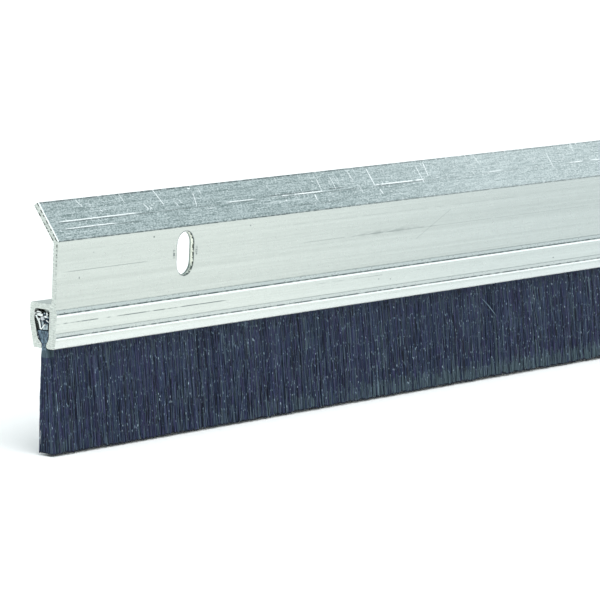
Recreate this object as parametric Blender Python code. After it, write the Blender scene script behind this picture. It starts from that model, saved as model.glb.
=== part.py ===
"""Brush door sweep: an extruded aluminium carrier with a replaceable nylon strip brush in its channel.

Run with: blender --background --python part.py

The frame has its origin in the middle of the face that lies against the door. X runs along the sweep,
+Y points into the door and +Z is up. A cross-section is drawn with two measures: the depth behind the
front of the web, and the height above the tips of the bristles.
"""

import math

import bmesh
import bpy
from mathutils import Vector

MM = 0.001

# Overall size
LENGTH = 914.4 * MM
TOTAL_HEIGHT = 41.3 * MM
DOOR_DEPTH = 5.5 * MM

# Carrier: web, sloping flange and brush channel
WALL = 1.0 * MM
LIP_HEIGHT = 17.5 * MM
BEND_HEIGHT = 35.3 * MM
FLANGE_ANGLE = math.radians(38.0)
CHANNEL_TOP = 24.95 * MM
LAND_LOW = 21.6 * MM
LEDGE_HEIGHT = 24.0 * MM
LEDGE_DROP = 0.7 * MM
LEDGE_PROUD = 0.3 * MM
SECOND_LEDGE_HEIGHT = 20.2 * MM
SECOND_LEDGE_PROUD = 0.1 * MM
BACK_LIP_DEPTH = 4.5 * MM

# The cavity that holds the brush, and its neck
CAVITY_FRONT = 1.35 * MM
CAVITY_BACK = 4.55 * MM
CAVITY_TOP = CHANNEL_TOP - WALL
CAVITY_KNEE = 22.2 * MM
SHOULDER_DEPTH = 3.75 * MM
SHOULDER_HEIGHT = 19.1 * MM
NECK_DEPTH = 2.33 * MM
NECK_WIDTH = 1.0 * MM
NECK_TOP = 18.2 * MM

# Screw slots in the web
SLOT_COUNT = 5
SLOT_WIDTH = 4.4 * MM
SLOT_LENGTH = 7.45 * MM
SLOT_HEIGHT = 30.75 * MM
SLOT_FROM_END = 33.0 * MM

# Strip brush: steel spine, core wire and bristles. It leans forward, so its middle moves from the top down
SPINE_TOP_DEPTH = 2.95 * MM
SPINE_MOUTH_DEPTH = 2.8 * MM
SPINE_WIDTH = 2.8 * MM
SPINE_MOUTH_WIDTH = 2.4 * MM
SPINE_TOP = CAVITY_TOP - 0.2 * MM
SPINE_BOTTOM = 20.75 * MM
SPINE_SHEET = 0.4 * MM
SPINE_CROWN = 0.8 * MM
WIRE_DEPTH = 2.92 * MM
WIRE_HEIGHT = 22.4 * MM
WIRE_RADIUS = 0.35 * MM
FOLD_INNER_RADIUS = 0.45 * MM
FOLD_OUTER_RADIUS = 0.8 * MM
BUNDLE_FRONT = 1.55 * MM
BUNDLE_BACK = 3.55 * MM
BUNDLE_WIDE_HEIGHT = 20.3 * MM
BUNDLE_AT_NECK = 0.8 * MM

# Free bristles, which swing about the foot of the neck
HINGE_HEIGHT = 16.85 * MM
FRINGE_CAP_RADIUS = 0.45 * MM
TIP_FRONT = -0.6 * MM
TIP_BACK = 2.5 * MM

# The frame's origin: the middle of the channel's flat back, which is the face on the door
ORIGIN_HEIGHT = (LAND_LOW + CHANNEL_TOP) / 2

ALONG_X = (math.pi / 2, 0.0, math.pi / 2)
ALONG_Y = (math.pi / 2, 0.0, 0.0)
ARC_STEPS = 4


def clear_scene():
    for obj in list(bpy.data.objects):
        bpy.data.objects.remove(obj, do_unlink=True)


def new_collection(name):
    collection = bpy.data.collections.new(name)
    bpy.context.scene.collection.children.link(collection)
    return collection


def new_material(name, color, metallic, roughness):
    material = bpy.data.materials.new(name)
    material.use_nodes = True
    shader = material.node_tree.nodes["Principled BSDF"]
    shader.inputs["Base Color"].default_value = (*color, 1.0)
    shader.inputs["Metallic"].default_value = metallic
    shader.inputs["Roughness"].default_value = roughness
    material.diffuse_color = (*color, 1.0)
    return material


def arc(center, radius, start, end, steps):
    """Points on an arc about center, from angle start to angle end."""
    angles = [start + (end - start) * i / steps for i in range(steps + 1)]
    return [center + radius * Vector((math.cos(a), math.sin(a))) for a in angles]


def rounded(corners):
    """A closed outline through corners of (depth, height, radius), with each corner rounded to its radius."""
    outline = []
    for i, (depth, height, radius) in enumerate(corners):
        corner = Vector((depth, height))
        before = Vector(corners[i - 1][:2]) - corner
        after = Vector(corners[(i + 1) % len(corners)][:2]) - corner
        if radius == 0:
            outline.append(corner)
            continue
        before.normalize()
        after.normalize()
        half = before.angle(after) / 2
        center = corner + (before + after).normalized() * radius / math.sin(half)
        reach = radius / math.tan(half)
        first = corner + before * reach - center
        last = corner + after * reach - center
        start = math.atan2(first.y, first.x)
        turn = math.remainder(math.atan2(last.y, last.x) - start, 2 * math.pi)
        outline += arc(center, radius, start, start + turn, ARC_STEPS)
    return outline


def extruded(name, loops, length, rotation, location, collection):
    """A solid with the outline given by loops (the first outside, any others holes), centred on its origin."""
    curve = bpy.data.curves.new(name, "CURVE")
    curve.dimensions = "2D"
    curve.fill_mode = "BOTH"
    curve.extrude = length / 2
    for loop in loops:
        spline = curve.splines.new("POLY")
        spline.points.add(len(loop) - 1)
        for point, place in zip(spline.points, loop):
            point.co = (place.x, place.y, 0.0, 1.0)
        spline.use_cyclic_u = True
    guide = bpy.data.objects.new(name + "_outline", curve)
    guide.rotation_euler = rotation
    guide.location = location
    collection.objects.link(guide)
    bpy.context.view_layer.update()

    graph = bpy.context.evaluated_depsgraph_get()
    mesh = bpy.data.meshes.new_from_object(guide.evaluated_get(graph))
    mesh.name = name
    shape = bmesh.new()
    shape.from_mesh(mesh)
    bmesh.ops.remove_doubles(shape, verts=shape.verts, dist=1e-6)
    bmesh.ops.recalc_face_normals(shape, faces=shape.faces)
    shape.to_mesh(mesh)
    shape.free()
    mesh.shade_smooth()
    mesh.set_sharp_from_angle(angle=math.radians(35))

    solid = bpy.data.objects.new(name, mesh)
    collection.objects.link(solid)
    solid.matrix_world = guide.matrix_world
    bpy.data.objects.remove(guide, do_unlink=True)
    bpy.data.curves.remove(curve)
    return solid


def bar(name, corners, material, collection, center=(DOOR_DEPTH, ORIGIN_HEIGHT), holes=()):
    """A bar along the whole sweep, with its origin on the line at the depth and height of center."""
    middle = Vector(center)
    loops = [[point - middle for point in loop] for loop in (rounded(corners), *holes)]
    location = (0.0, middle.x - DOOR_DEPTH, middle.y - ORIGIN_HEIGHT)
    solid = extruded(name, loops, LENGTH, ALONG_X, location, collection)
    solid.data.materials.append(material)
    return solid


def screw_slot_places():
    """The middle of each slot along X, evenly spaced between the two end slots."""
    first = -LENGTH / 2 + SLOT_FROM_END
    pitch = -2 * first / (SLOT_COUNT - 1)
    return [first + pitch * i for i in range(SLOT_COUNT)]


def cut_screw_slots(carrier, cutters):
    radius = SLOT_WIDTH / 2
    straight = (SLOT_LENGTH - SLOT_WIDTH) / 2
    steps = 3 * ARC_STEPS
    outline = arc(Vector((0, straight)), radius, 0.0, math.pi, steps)
    outline += arc(Vector((0, -straight)), radius, math.pi, 2 * math.pi, steps)
    for number, along in enumerate(screw_slot_places(), 1):
        place = (along, WALL / 2 - DOOR_DEPTH, SLOT_HEIGHT - ORIGIN_HEIGHT)
        cutter = extruded(f"slot_cutter_{number}", [outline], 4 * WALL, ALONG_Y, place, cutters)
        cutter.hide_render = True
        cutter.display_type = "WIRE"
        cut = carrier.modifiers.new(f"screw_slot_{number}", "BOOLEAN")
        cut.operation = "DIFFERENCE"
        cut.object = cutter
    flat_faces = carrier.modifiers.new("flat_faces", "WEIGHTED_NORMAL")
    flat_faces.keep_sharp = True


def make_carrier(parts, cutters, aluminium):
    """The extrusion, from the flange's tip down its front, round the cavity and up its back."""
    flange_run = (TOTAL_HEIGHT - BEND_HEIGHT) * math.tan(FLANGE_ANGLE)
    tip_back_depth = flange_run + WALL * math.cos(FLANGE_ANGLE)
    tip_back_height = TOTAL_HEIGHT - WALL * math.sin(FLANGE_ANGLE)
    bend_back_height = BEND_HEIGHT - WALL * math.tan(FLANGE_ANGLE / 2)
    neck_front = NECK_DEPTH - NECK_WIDTH / 2
    neck_back = NECK_DEPTH + NECK_WIDTH / 2
    corners = [
        (flange_run, TOTAL_HEIGHT, 0.15 * MM),
        (0.0, BEND_HEIGHT, 0.3 * MM),
        (0.0, LEDGE_HEIGHT, 0.15 * MM),
        (-LEDGE_PROUD, LEDGE_HEIGHT - LEDGE_DROP, 0.15 * MM),
        (-SECOND_LEDGE_PROUD, SECOND_LEDGE_HEIGHT, 0.1 * MM),
        (-LEDGE_PROUD, SECOND_LEDGE_HEIGHT - LEDGE_DROP, 0.15 * MM),
        (0.0, LIP_HEIGHT, 0.4 * MM),
        (neck_front, LIP_HEIGHT, 0.45 * MM),
        (neck_front, NECK_TOP, 0.2 * MM),
        (CAVITY_FRONT, SHOULDER_HEIGHT, 0.3 * MM),
        (CAVITY_FRONT, CAVITY_TOP, 0.45 * MM),
        (CAVITY_BACK, CAVITY_TOP, 0.45 * MM),
        (CAVITY_BACK, CAVITY_KNEE, 1.0 * MM),
        (SHOULDER_DEPTH, SHOULDER_HEIGHT, 0.3 * MM),
        (neck_back, NECK_TOP, 0.2 * MM),
        (neck_back, LIP_HEIGHT, 0.2 * MM),
        (BACK_LIP_DEPTH, LIP_HEIGHT, 0.15 * MM),
        (DOOR_DEPTH, LAND_LOW, 0.0),
        (DOOR_DEPTH, CHANNEL_TOP, 0.5 * MM),
        (WALL, CHANNEL_TOP, 0.3 * MM),
        (WALL, bend_back_height, 0.3 * MM),
        (tip_back_depth, tip_back_height, 0.15 * MM),
    ]
    carrier = bar("carrier", corners, aluminium, parts)
    cut_screw_slots(carrier, cutters)
    return carrier


def make_brush_spine(parts, steel):
    """Sheet steel folded into a channel, with its two legs crimped in towards the mouth."""
    top = SPINE_WIDTH / 2
    mouth = SPINE_MOUTH_WIDTH / 2
    inner_top = SPINE_TOP - SPINE_SHEET
    inner_crown = SPINE_CROWN - SPINE_SHEET
    corners = [
        (SPINE_TOP_DEPTH - top, SPINE_TOP, SPINE_CROWN),
        (SPINE_MOUTH_DEPTH - mouth, SPINE_BOTTOM, 0.1 * MM),
        (SPINE_MOUTH_DEPTH - mouth + SPINE_SHEET, SPINE_BOTTOM, 0.1 * MM),
        (SPINE_TOP_DEPTH - top + SPINE_SHEET, inner_top, inner_crown),
        (SPINE_TOP_DEPTH + top - SPINE_SHEET, inner_top, inner_crown),
        (SPINE_MOUTH_DEPTH + mouth - SPINE_SHEET, SPINE_BOTTOM, 0.1 * MM),
        (SPINE_MOUTH_DEPTH + mouth, SPINE_BOTTOM, 0.1 * MM),
        (SPINE_TOP_DEPTH + top, SPINE_TOP, SPINE_CROWN),
    ]
    return bar("brush_spine", corners, steel, parts)


def make_core_wire(parts, steel):
    """The wire that the bristles are folded over, along the inside of the spine."""
    place = (0.0, WIRE_DEPTH - DOOR_DEPTH, WIRE_HEIGHT - ORIGIN_HEIGHT)
    bpy.ops.mesh.primitive_cylinder_add(
        vertices=24,
        radius=WIRE_RADIUS,
        depth=LENGTH,
        location=place,
        rotation=(0.0, math.pi / 2, 0.0),
    )
    wire = bpy.context.object
    wire.name = "core_wire"
    wire.data.name = "core_wire"
    wire.data.shade_smooth()
    wire.data.set_sharp_from_angle(angle=math.radians(35))
    wire.data.materials.append(steel)
    for collection in list(wire.users_collection):
        collection.objects.unlink(wire)
    parts.objects.link(wire)
    return wire


def make_bristle_roots(parts, nylon):
    """The bristles from their fold over the core wire down through the neck, as one solid bundle."""
    fold_top = WIRE_HEIGHT + FOLD_OUTER_RADIUS
    mouth = SPINE_MOUTH_WIDTH / 2 - SPINE_SHEET - 0.1 * MM
    at_neck = BUNDLE_AT_NECK / 2
    front = [
        (WIRE_DEPTH - FOLD_OUTER_RADIUS, fold_top, 0.75 * MM),
        (SPINE_MOUTH_DEPTH - mouth, SPINE_BOTTOM, 0.1 * MM),
        (BUNDLE_FRONT, BUNDLE_WIDE_HEIGHT, 0.2 * MM),
        (BUNDLE_FRONT, SHOULDER_HEIGHT, 0.2 * MM),
        (NECK_DEPTH - at_neck, NECK_TOP, 0.2 * MM),
        (NECK_DEPTH - at_neck, LIP_HEIGHT, 0.0),
    ]
    back = [
        (NECK_DEPTH + at_neck, LIP_HEIGHT, 0.0),
        (NECK_DEPTH + at_neck, NECK_TOP, 0.2 * MM),
        (BUNDLE_BACK, SHOULDER_HEIGHT, 0.2 * MM),
        (BUNDLE_BACK, BUNDLE_WIDE_HEIGHT, 0.2 * MM),
        (SPINE_MOUTH_DEPTH + mouth, SPINE_BOTTOM, 0.1 * MM),
        (WIRE_DEPTH + FOLD_OUTER_RADIUS, fold_top, 0.75 * MM),
    ]
    wire = Vector((WIRE_DEPTH, WIRE_HEIGHT))
    wire_hole = arc(wire, FOLD_INNER_RADIUS, 0.0, 2 * math.pi, 6 * ARC_STEPS)[:-1]
    return bar("bristle_roots", front + back, nylon, parts, holes=[wire_hole])


def make_bristle_fringe(parts, nylon):
    """The free bristles below the lips, spreading towards the tips, with a round top on the hinge line."""
    top = HINGE_HEIGHT + FRINGE_CAP_RADIUS
    corners = [
        (NECK_DEPTH - FRINGE_CAP_RADIUS, top, 0.4 * MM),
        (TIP_FRONT, 0.0, 0.2 * MM),
        (TIP_BACK, 0.0, 0.2 * MM),
        (NECK_DEPTH + FRINGE_CAP_RADIUS, top, 0.4 * MM),
    ]
    return bar("bristle_fringe", corners, nylon, parts, center=(NECK_DEPTH, HINGE_HEIGHT))


def main():
    clear_scene()
    parts = new_collection("door_sweep")
    cutters = new_collection("door_sweep_cutters")
    aluminium = new_material("mill_aluminium", (0.72, 0.75, 0.74), 1.0, 0.32)
    steel = new_material("galvanised_steel", (0.66, 0.69, 0.71), 1.0, 0.38)
    wire_steel = new_material("core_wire_steel", (0.5, 0.52, 0.54), 1.0, 0.45)
    nylon = new_material("black_nylon", (0.018, 0.024, 0.04), 0.0, 0.5)
    fringe_nylon = new_material("black_nylon_fringe", (0.02, 0.027, 0.046), 0.0, 0.5)
    make_carrier(parts, cutters, aluminium)
    make_brush_spine(parts, steel)
    make_core_wire(parts, wire_steel)
    make_bristle_roots(parts, nylon)
    make_bristle_fringe(parts, fringe_nylon)


main()
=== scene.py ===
"""The looks of the brush door sweep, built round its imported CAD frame.

Places across the section are given as in the part's source: the depth behind the front of the web, and the
height above the tips of the bristles, both in millimetres. Places along the sweep are measured from its
left end.
"""

import math

import bmesh
import bpy
import numpy as np
from mathutils import Matrix, Vector, noise


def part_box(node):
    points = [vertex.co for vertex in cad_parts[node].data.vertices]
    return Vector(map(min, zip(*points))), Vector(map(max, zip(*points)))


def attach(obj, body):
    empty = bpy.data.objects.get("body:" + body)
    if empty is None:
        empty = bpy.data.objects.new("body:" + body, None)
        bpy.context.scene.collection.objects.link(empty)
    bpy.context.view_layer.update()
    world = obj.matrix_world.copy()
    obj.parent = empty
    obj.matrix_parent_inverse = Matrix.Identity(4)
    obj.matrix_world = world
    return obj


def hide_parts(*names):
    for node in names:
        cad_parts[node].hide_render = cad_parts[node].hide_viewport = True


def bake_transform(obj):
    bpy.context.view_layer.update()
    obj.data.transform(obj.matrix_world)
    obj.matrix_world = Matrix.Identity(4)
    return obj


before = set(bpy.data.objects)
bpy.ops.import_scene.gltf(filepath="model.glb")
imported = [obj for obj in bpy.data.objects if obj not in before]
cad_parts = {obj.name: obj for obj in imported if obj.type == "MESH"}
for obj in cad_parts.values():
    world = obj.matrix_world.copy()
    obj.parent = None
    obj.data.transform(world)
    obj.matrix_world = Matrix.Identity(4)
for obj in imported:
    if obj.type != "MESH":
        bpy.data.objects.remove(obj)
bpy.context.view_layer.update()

MM = 0.001
SEED = 1907

# Places taken from the frame, in metres, and the sweep's length in millimetres
carrier_low, carrier_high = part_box("carrier")
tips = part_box("bristle_fringe")[0].z
left = carrier_low.x
right = carrier_high.x
sweep_length = (right - left) / MM

# The carrier's section, in millimetres
LEDGE_PROUD = 0.3
WALL = 1.0
BEND_HEIGHT = 35.3
FLANGE_SLOPE = math.radians(38.0)
LIP_HEIGHT = 17.5
SLOT_HEIGHT = 30.75
SLOT_WIDTH = 4.4
SLOT_LENGTH = 7.45
SLOT_FROM_END = 33.0
SLOT_COUNT = 5
SLOT_PITCH = (sweep_length - 2 * SLOT_FROM_END) / (SLOT_COUNT - 1)
web_front = carrier_low.y + LEDGE_PROUD * MM

# The bristle bundle from its roots to its tips: height, front and back, in millimetres
BUNDLE = (
    (21.2, 1.60, 3.90),
    (20.3, 1.55, 3.80),
    (19.2, 1.55, 3.50),
    (18.2, 1.95, 2.70),
    (17.4, 1.95, 2.70),
    (16.4, 1.70, 2.85),
    (8.0, 0.45, 2.75),
    (0.0, -0.60, 2.50),
)
ROOT_TOP = 20.35
ROOT_LOW = 17.0
NECK_MIDDLE = 17.9

# Below this distance, in metres, a point counts as lying on a face
NEAR = 0.01 * MM


def place(along, depth, height):
    """A point of the frame, from the distance to the left end, the depth and the height in millimetres."""
    return Vector((left + along * MM, web_front + depth * MM, tips + height * MM))


# ---------------------------------------------------------------------------------------------- materials


class Tree:
    """A material's node tree. Each call adds one kind of node and returns its output socket."""

    def __init__(self, name):
        self.material = bpy.data.materials.new(name)
        self.material.use_nodes = True
        self.nodes = self.material.node_tree.nodes
        self.links = self.material.node_tree.links
        self.shader = self.nodes["Principled BSDF"]
        position = self.node("ShaderNodeTexCoord", {}, "Object")
        self.place = self.node("ShaderNodeVectorMath", {0: position, "Scale": 1 / MM}, operation="SCALE")
        split = self.nodes.new("ShaderNodeSeparateXYZ")
        self.links.new(self.place, split.inputs[0])
        self.along = self.math("SUBTRACT", split.outputs["X"], left / MM)
        self.depth = self.math("SUBTRACT", split.outputs["Y"], web_front / MM)
        self.height = self.math("SUBTRACT", split.outputs["Z"], tips / MM)

    def node(self, kind, inputs, output=0, **settings):
        made = self.nodes.new(kind)
        for name, value in settings.items():
            setattr(made, name, value)
        for key, value in inputs.items():
            if isinstance(value, bpy.types.NodeSocket):
                self.links.new(value, made.inputs[key])
            else:
                made.inputs[key].default_value = value
        return made.outputs[output]

    def math(self, operation, first, second=0.0):
        return self.node("ShaderNodeMath", {0: first, 1: second}, operation=operation)

    def ramp(self, value, low, high, at_low=0.0, at_high=1.0):
        """Rises smoothly from at_low to at_high as value goes from low to high."""
        inputs = {"Value": value, "From Min": low, "From Max": high, "To Min": at_low, "To Max": at_high}
        return self.node("ShaderNodeMapRange", inputs, interpolation_type="SMOOTHSTEP")

    def band(self, value, low, high, soft):
        """1 where value lies between low and high, and 0 outside, with soft edges."""
        rise = self.ramp(value, low - soft, low + soft)
        fall = self.ramp(value, high - soft, high + soft, 1.0, 0.0)
        return self.math("MULTIPLY", rise, fall)

    def noise(self, scales, detail=2.0, shift=0.0):
        """Noise stretched along each axis: scales is how many features a millimetre of X, Y and Z holds."""
        vector = self.node("ShaderNodeVectorMath", {0: self.place, 1: scales}, operation="MULTIPLY")
        moved = self.node("ShaderNodeVectorMath", {0: vector, 1: (shift,) * 3}, operation="ADD")
        return self.node("ShaderNodeTexNoise", {"Vector": moved, "Scale": 1.0, "Detail": detail})

    def tint(self, factor, first, second):
        """A colour between first and second."""
        opaque = [c if isinstance(c, bpy.types.NodeSocket) else (*c, 1.0) for c in (first, second)]
        return self.node("ShaderNodeMix", {0: factor, 6: opaque[0], 7: opaque[1]}, 2, data_type="RGBA")

    def total(self, *values):
        result = values[0]
        for value in values[1:]:
            result = self.math("ADD", result, value)
        return result

    def product(self, *values):
        result = values[0]
        for value in values[1:]:
            result = self.math("MULTIPLY", result, value)
        return result

    def swing(self, value, amount):
        """Turns a value from 0 to 1 into one that swings round 0, by half the amount each way."""
        return self.product(self.math("SUBTRACT", value, 0.5), amount)

    def bump(self, height, microns):
        inputs = {"Height": height, "Strength": 1.0, "Distance": microns * 1e-6}
        return self.node("ShaderNodeBump", inputs, "Normal")

    def finish(self, color, roughness, normal=None, metallic=1.0):
        self.shader.inputs["Metallic"].default_value = metallic
        for key, value in (("Base Color", color), ("Roughness", roughness), ("Normal", normal)):
            if isinstance(value, bpy.types.NodeSocket):
                self.links.new(value, self.shader.inputs[key])
            elif value is not None:
                self.shader.inputs[key].default_value = value
        return self.material


# Marks along the sweep: height, width, from, to, how broken they are and how strong, the last two from 0 to 1
BRIGHT_LINES = (
    (38.15, 0.14, 3.0, 22.5, 0.15, 1.0),
    (38.15, 0.13, 46.5, 54.0, 0.0, 0.9),
    (38.15, 0.12, 59.4, 60.6, 0.0, 0.8),
    (38.15, 0.12, 61.9, 64.2, 0.0, 0.9),
    (38.15, 0.14, 65.5, 73.5, 0.0, 1.0),
    (38.15, 0.14, 88.9, 103.4, 0.15, 1.0),
    (38.15, 0.11, 123.8, 127.6, 0.0, 0.7),
    (38.10, 0.12, 150.0, 880.0, 0.9, 0.8),
    (37.05, 0.12, 3.5, 16.0, 0.15, 1.0),
    (37.55, 0.12, 40.5, 42.7, 0.0, 0.8),
    (37.30, 0.12, 55.0, 68.0, 0.3, 0.4),
)
DARK_LINES = (
    (37.95, 0.12, 2.5, 27.0, 0.20, 0.9),
    (37.95, 0.11, 27.0, 56.0, 0.35, 0.6),
    (38.34, 0.14, 58.0, 80.0, 0.2, 1.0),
    (37.95, 0.12, 61.0, 84.0, 0.15, 0.7),
    (37.95, 0.15, 89.0, 104.0, 0.1, 1.0),
    (37.95, 0.12, 104.0, 900.0, 0.6, 0.4),
    (36.88, 0.11, 3.0, 26.0, 0.4, 0.7),
    (36.40, 0.25, 60.0, 78.0, 0.5, 0.3),
    (30.20, 0.10, 2.6, 22.5, 0.1, 0.6),
    (29.90, 0.12, 66.0, 106.0, 0.2, 0.35),
    (29.85, 0.10, 100.0, 210.0, 0.3, 0.25),
    (33.30, 0.10, 62.0, 130.0, 0.6, 0.2),
    (21.75, 0.14, -5.0, 44.0, 0.60, 1.0),
    (22.30, 0.10, 70.0, 100.0, 0.6, 0.4),
)

# Scratches: along and height of one end, along and height of the other, width and strength. The first row is
# no scratch but a painted highlight along the flange's cut edge at the left end
NICKS = (
    (0.10, 35.5, 0.10, 41.2, 0.36, 1.0),
    (30.2, 39.0, 29.3, 41.2, 0.16, 1.0),
    (20.7, 40.0, 20.4, 41.1, 0.14, 0.8),
    (10.0, 40.0, 9.2, 40.9, 0.14, 0.8),
    (14.2, 38.9, 13.9, 39.4, 0.14, 0.7),
    (15.3, 39.0, 15.0, 39.4, 0.14, 0.6),
    (25.8, 38.5, 25.3, 39.3, 0.15, 0.9),
    (26.8, 38.4, 26.4, 38.9, 0.15, 0.8),
    (27.4, 38.9, 27.1, 39.3, 0.14, 0.7),
    (33.8, 38.5, 33.4, 39.0, 0.15, 0.7),
    (35.0, 38.8, 34.6, 39.3, 0.15, 0.7),
    (38.4, 38.2, 39.0, 40.0, 0.15, 0.9),
    (38.2, 40.9, 38.9, 40.8, 0.16, 0.9),
    (41.0, 39.9, 41.0, 40.7, 0.15, 0.8),
    (73.3, 38.2, 73.5, 40.0, 0.14, 0.7),
    (70.8, 37.0, 70.9, 37.7, 0.20, 1.0),
    (77.5, 38.3, 77.5, 40.1, 0.14, 0.8),
    (78.8, 38.8, 78.5, 40.2, 0.12, 0.6),
    (83.5, 39.3, 82.9, 40.9, 0.14, 0.6),
    (88.8, 38.3, 88.8, 40.7, 0.18, 1.0),
    (84.4, 37.3, 84.5, 38.3, 0.14, 0.5),
    (89.9, 36.7, 89.7, 37.3, 0.20, 0.9),
    (103.3, 37.7, 103.3, 40.3, 0.16, 0.7),
    (105.5, 38.7, 105.9, 40.7, 0.16, 0.8),
    (122.4, 39.6, 121.9, 41.1, 0.20, 0.4),
    (144.6, 37.8, 144.7, 40.1, 0.20, 0.5),
)
WEB_SCRATCH = (99.0, 27.9, 109.3, 32.5, 0.10, 0.30)
SPECKS = (
    (24.5, 34.2, 24.6, 34.2, 0.26, 0.9),
    (5.6, 28.9, 5.6, 29.0, 0.26, 0.7),
    (50.5, 34.1, 50.6, 34.1, 0.20, 0.8),
    (9.0, 32.9, 9.1, 32.9, 0.18, 0.4),
    (88.0, 21.6, 88.1, 21.6, 0.18, 0.8),
    (91.5, 21.3, 91.7, 21.3, 0.16, 0.7),
    (143.0, 20.9, 143.2, 20.9, 0.20, 0.8),
)

# Bands over the whole length: their lower and upper heights, how soft their edges are and how strong each is.
# The light ones are painted highlights along the ledges' edges and on their sloping faces, and the dark ones
# are painted shade in the grooves beside them and in the bend
PAINTED_HIGHLIGHT_BANDS = (
    (22.92, 23.20, 0.07, 1.0),
    (19.12, 19.38, 0.07, 0.9),
    (23.46, 23.95, 0.10, 0.42),
    (19.60, 20.10, 0.10, 0.35),
)
PAINTED_SHADE_BANDS = (
    (23.95, 24.10, 0.08, 0.5),
    (23.24, 23.46, 0.06, 1.15),
    (20.10, 20.22, 0.08, 0.4),
    (19.42, 19.64, 0.06, 1.15),
    (BEND_HEIGHT - 0.05, BEND_HEIGHT + 0.15, 0.08, 1.0),
)

# A grey smudge on the web, along and up
SMUDGE_ALONG = (82.0, 98.0)
SMUDGE_HEIGHT = (29.7, 30.3)

# The torn lines across the flange's cut end: how far each lies behind the front, from and to, and its noise
TORN_LINES = ((0.14, 0.38, 44.0), (0.90, 1.16, 45.0))

# The wear grows along this length from the left end, then fades and grows again by turns
WEAR_TURNS_AT = 170.0


def stroke(tree, mark):
    """A straight scratch from one place on the front to another."""
    first, low, second, high, width, strength = mark
    span = Vector((second - first, high - low, 0.0))
    flat = tree.node("ShaderNodeCombineXYZ", {"X": tree.along, "Y": tree.height})
    offset = tree.node("ShaderNodeVectorMath", {0: flat, 1: (first, low, 0.0)}, operation="SUBTRACT")
    reach = {0: offset, 1: tuple(span / span.length_squared)}
    share = tree.node("ShaderNodeVectorMath", reach, "Value", operation="DOT_PRODUCT")
    share = tree.math("MINIMUM", tree.math("MAXIMUM", share, 0.0), 1.0)
    nearest = tree.node("ShaderNodeVectorMath", {0: tuple(span), "Scale": share}, operation="SCALE")
    distance = tree.node("ShaderNodeVectorMath", {0: offset, 1: nearest}, "Value", operation="DISTANCE")
    return tree.ramp(distance, width / 4, width * 0.75, strength, 0.0)


def together(tree, draw, marks):
    """The strongest of several marks at each place.

    Each mark is joined as soon as it is drawn, because a renderer keeps every value that still waits.
    """
    result = 0.0
    for mark in marks:
        result = tree.math("MAXIMUM", result, draw(tree, mark))
    return result


def bands(tree, rows):
    """The sum of several bands over the whole length, joined one by one as the marks are."""
    result = 0.0
    for low, high, soft, strength in rows:
        result = tree.math("ADD", result, tree.product(tree.band(tree.height, low, high, soft), strength))
    return result


def along_line(tree, mark):
    """A scratch or die line along the sweep, fading at its ends and broken by noise."""
    height, width, start, end, broken, strength = mark
    across = tree.band(tree.height, height - width / 2, height + width / 2, width / 2)
    run = tree.band(tree.along, start, end, 1.5)
    gaps = tree.noise((0.22, 0.0, 0.0), 2.0, 7.3 * height + start)
    kept = tree.ramp(gaps, 0.3 + broken * 0.16, 0.38 + broken * 0.22, 0.0, strength)
    return tree.product(across, run, kept)


def from_slots(tree):
    """How far a place on the web is from the nearest slot's rim, in millimetres."""
    shifted = tree.math("ADD", tree.along, SLOT_PITCH / 2 - SLOT_FROM_END)
    across = tree.math("SUBTRACT", tree.math("FLOORED_MODULO", shifted, SLOT_PITCH), SLOT_PITCH / 2)
    up = tree.math("ABSOLUTE", tree.math("SUBTRACT", tree.height, SLOT_HEIGHT))
    past = tree.math("MAXIMUM", tree.math("SUBTRACT", up, (SLOT_LENGTH - SLOT_WIDTH) / 2), 0.0)
    square = tree.total(tree.product(across, across), tree.product(past, past))
    return tree.math("SUBTRACT", tree.math("SQRT", square), SLOT_WIDTH / 2)


def light_marks(tree, on_flange, grain, wear):
    """Where the metal is painted bright: scratches and bright lines, a painted sparkle on the flange's grain,
    the scuffed flange, painted highlights on the ledges and a lighter lip.
    """
    nick_lines = tree.noise((3.2, 0.25, 0.25), 2.0, 17.0)
    nick_level = tree.ramp(tree.noise((0.03, 0.0, 0.0), 1.0, 19.0), 0.40, 0.65, 0.72, 0.62)
    random_nicks = tree.product(
        tree.ramp(tree.math("SUBTRACT", nick_lines, nick_level), 0.0, 0.03),
        tree.ramp(tree.height, BEND_HEIGHT + 0.6, BEND_HEIGHT + 2.4),
        tree.ramp(tree.along, 60.0, 160.0, 0.35, 0.6),
    )
    nicks = tree.total(random_nicks, together(tree, stroke, NICKS))
    lines = together(tree, along_line, BRIGHT_LINES)
    # Painted sparkle: bright spots on the flange's grain, a painted highlight
    sparkle = tree.product(tree.ramp(grain, 0.60, 0.74), on_flange, 0.5)
    scuffed = tree.product(tree.ramp(wear, 50.0, 125.0, 0.0, 0.30), on_flange)
    # Painted highlights along the ledges' edges and on their sloping faces, and the lip below 18.9 mm made
    # lighter
    ledge_highlights_and_lip = bands(tree, PAINTED_HIGHLIGHT_BANDS)
    ledge_highlights_and_lip = tree.total(ledge_highlights_and_lip, tree.product(tree.ramp(tree.height, 18.9, 18.5), 0.3))
    return tree.math("MINIMUM", tree.total(nicks, lines, sparkle, scuffed, ledge_highlights_and_lip), 1.0)


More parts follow.
